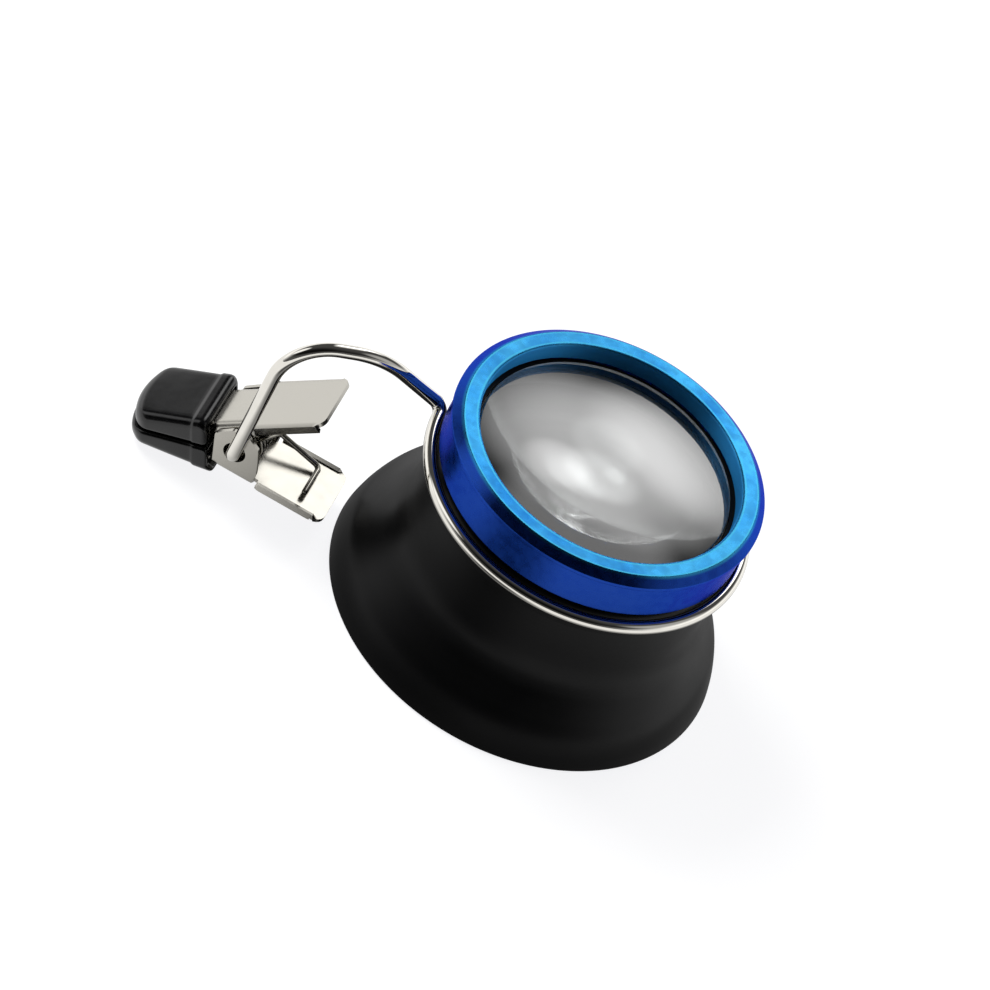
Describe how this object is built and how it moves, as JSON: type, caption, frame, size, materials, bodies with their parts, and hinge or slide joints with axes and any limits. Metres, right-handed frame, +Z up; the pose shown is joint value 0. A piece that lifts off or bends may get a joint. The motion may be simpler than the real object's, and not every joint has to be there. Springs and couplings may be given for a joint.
{
  "type": "clip-on loupe",
  "caption": "Eye loupe with a flared eye cup and an aluminium lens bezel, carried by a sprung wire arm that ends in a small spring clip with rubber tips.",
  "frame": {"origin": "middle of the bottom of the box round the whole part, in the plane that the eye cup's rim rests on", "axes": "+Z up along the loupe's axis, from the rim to the bezel; -X from the loupe towards the clip's tips; +Y across, along the clip's pin"},
  "size_m": [0.0576, 0.037, 0.0221],
  "materials": {
    "eye_cup": "satin black moulding",
    "bezel": "turned and blue anodised",
    "lens": "polished",
    "lens_gasket": "matt black",
    "lens_ring": "satin black",
    "wire": "bright nickel plate",
    "jaw_steel": "nickel plated pressing",
    "tip_rubber": "glossy black dipped",
    "spring_steel": "nickel plated spring wire"
  },
  "bodies": {
    "loupe": {"eye_cup": "eye_cup", "bezel": "bezel", "lens": "lens", "lens_gasket": "lens_gasket", "lens_ring": "lens_ring"},
    "holder": {"wire_holder": "wire"},
    "clip_lower": {"lower_jaw": "jaw_steel", "lower_tip": "tip_rubber", "clip_spring": "spring_steel"},
    "clip_upper": {"upper_jaw": "jaw_steel", "upper_tip": "tip_rubber"}
  },
  "joints": [
    {"name": "holder_turn", "type": "hinge", "parent": "loupe", "child": "holder", "pos_m": [0.01035, 0, 0.0162], "axis": [0, 0, 1], "continuous": true},
    {"name": "clip_swivel", "type": "hinge", "parent": "holder", "child": "clip_lower", "pos_m": [-0.01875, -0.00259, 0.00518], "axis": [0, 1, 0], "range_deg": [-195, 32]},
    {"name": "jaw_open", "type": "hinge", "parent": "clip_lower", "child": "clip_upper", "pos_m": [-0.01875, -0.00259, 0.00518], "axis": [0, 1, 0], "range_deg": [0, 30], "stiffness_Nm_per_rad": 0.036, "springref_deg": -45.84, "deforming": ["clip_spring"]}
  ]
}
